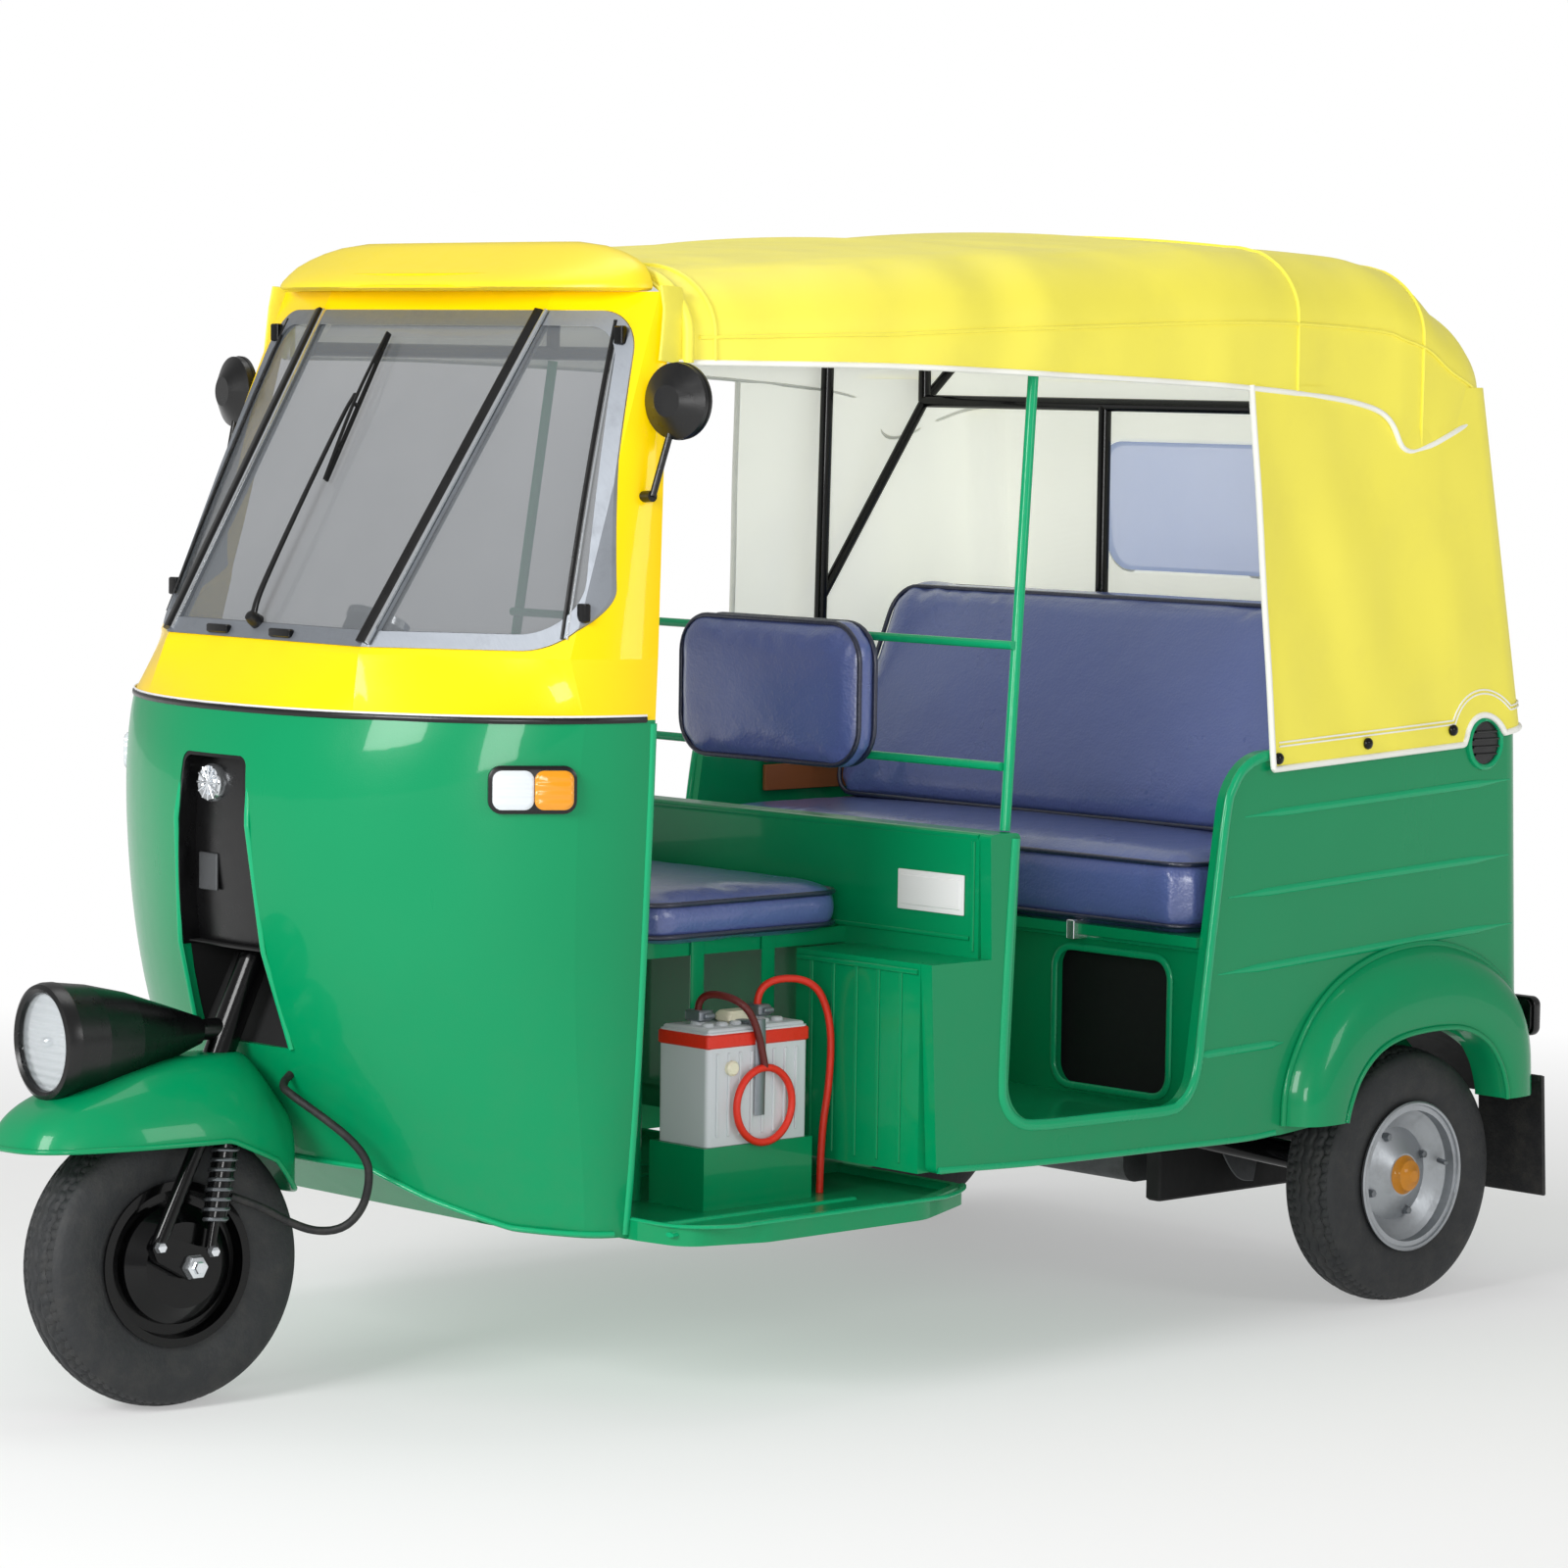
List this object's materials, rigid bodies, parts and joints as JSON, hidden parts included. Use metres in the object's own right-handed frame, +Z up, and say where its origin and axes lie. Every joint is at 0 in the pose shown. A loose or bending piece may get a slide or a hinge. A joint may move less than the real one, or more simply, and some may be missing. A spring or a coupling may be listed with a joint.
{
  "type": "auto rickshaw",
  "caption": "Three-wheeled passenger vehicle with a steered front wheel, open sides, a soft top and a top-hinged engine lid.",
  "frame": {"origin": "on the ground, under the middle of the length and width", "axes": "+X to the vehicle's left, -Y forward, +Z up"},
  "size_m": [1.306, 2.5412, 1.6848],
  "materials": {
    "green_paint": "gloss paint",
    "yellow_paint": "gloss paint",
    "bare_aluminium": "satin",
    "glass": "clear",
    "black_metal": "satin paint",
    "black_plastic": "satin",
    "yellow_plastic": "satin",
    "canopy_cloth": "coated cloth",
    "clear_plastic": "clear sheet",
    "seat_vinyl": "grained vinyl",
    "battery_case": "satin",
    "red_rubber": "satin",
    "rubber": "matte",
    "red_plastic": "clear red",
    "amber_plastic": "clear amber",
    "cast_metal": "as cast",
    "spring_steel": "satin",
    "rim_metal": "silver paint"
  },
  "bodies": {
    "chassis": {"front_cowl": "green_paint", "cowl_upper": "yellow_paint", "windscreen_frame": "bare_aluminium", "windscreen_glass": "glass", "wiper": "black_metal", "column_shroud": "black_plastic", "roof_visor": "yellow_plastic", "canopy_roof": "canopy_cloth", "canopy_curtains": "canopy_cloth", "rear_window": "clear_plastic", "canopy_frame": "black_metal", "floor_pan": "green_paint", "bulkhead": "green_paint", "grab_rails": "green_paint", "driver_seat": "seat_vinyl", "driver_backrest": "seat_vinyl", "battery": "battery_case", "battery_leads": "red_rubber", "body_side_left": "green_paint", "body_side_right": "green_paint", "mudguards": "green_paint", "rear_panel": "green_paint", "seat_box": "green_paint", "passenger_cushion": "seat_vinyl", "passenger_backrest": "seat_vinyl", "mud_flaps": "rubber", "tail_lamps": "red_plastic", "front_indicators": "amber_plastic", "side_mirrors": "black_plastic", "engine": "cast_metal", "trailing_arms": "black_metal", "rear_shocks": "black_metal"},
    "engine_cover": {"engine_cover": "green_paint"},
    "steering": {"steering_column": "black_metal", "front_shock": "spring_steel", "front_mudguard": "green_paint", "headlamp": "black_plastic", "headlamp_lens": "clear_plastic", "brake_hose": "rubber"},
    "front_wheel": {"front_tyre": "rubber", "front_rim": "black_metal"},
    "rear_wheel_left": {"rear_tyre_left": "rubber", "rear_rim_left": "rim_metal"},
    "rear_wheel_right": {"rear_tyre_right": "rubber", "rear_rim_right": "rim_metal"}
  },
  "joints": [
    {"name": "steer", "type": "hinge", "parent": "chassis", "child": "steering", "pos_m": [0, -0.92, 0.516], "axis": [0, 0.4226, 0.9063], "range_deg": [-33, 47], "deforming": ["brake_hose"]},
    {"name": "front_wheel_spin", "type": "hinge", "parent": "steering", "child": "front_wheel", "pos_m": [0.00342, -1.03519, 0.20309], "axis": [0.9925, -0.1105, 0.0515], "continuous": true},
    {"name": "rear_wheel_left_spin", "type": "hinge", "parent": "chassis", "child": "rear_wheel_left", "pos_m": [0.546, 0.965, 0.203], "axis": [1, 0, 0], "continuous": true},
    {"name": "rear_wheel_right_spin", "type": "hinge", "parent": "chassis", "child": "rear_wheel_right", "pos_m": [-0.546, 0.965, 0.203], "axis": [1, 0, 0], "continuous": true},
    {"name": "engine_cover_hinge", "type": "hinge", "parent": "chassis", "child": "engine_cover", "pos_m": [0, 1.22298, 0.846], "axis": [1, 0, 0], "range_deg": [0, 80]}
  ]
}
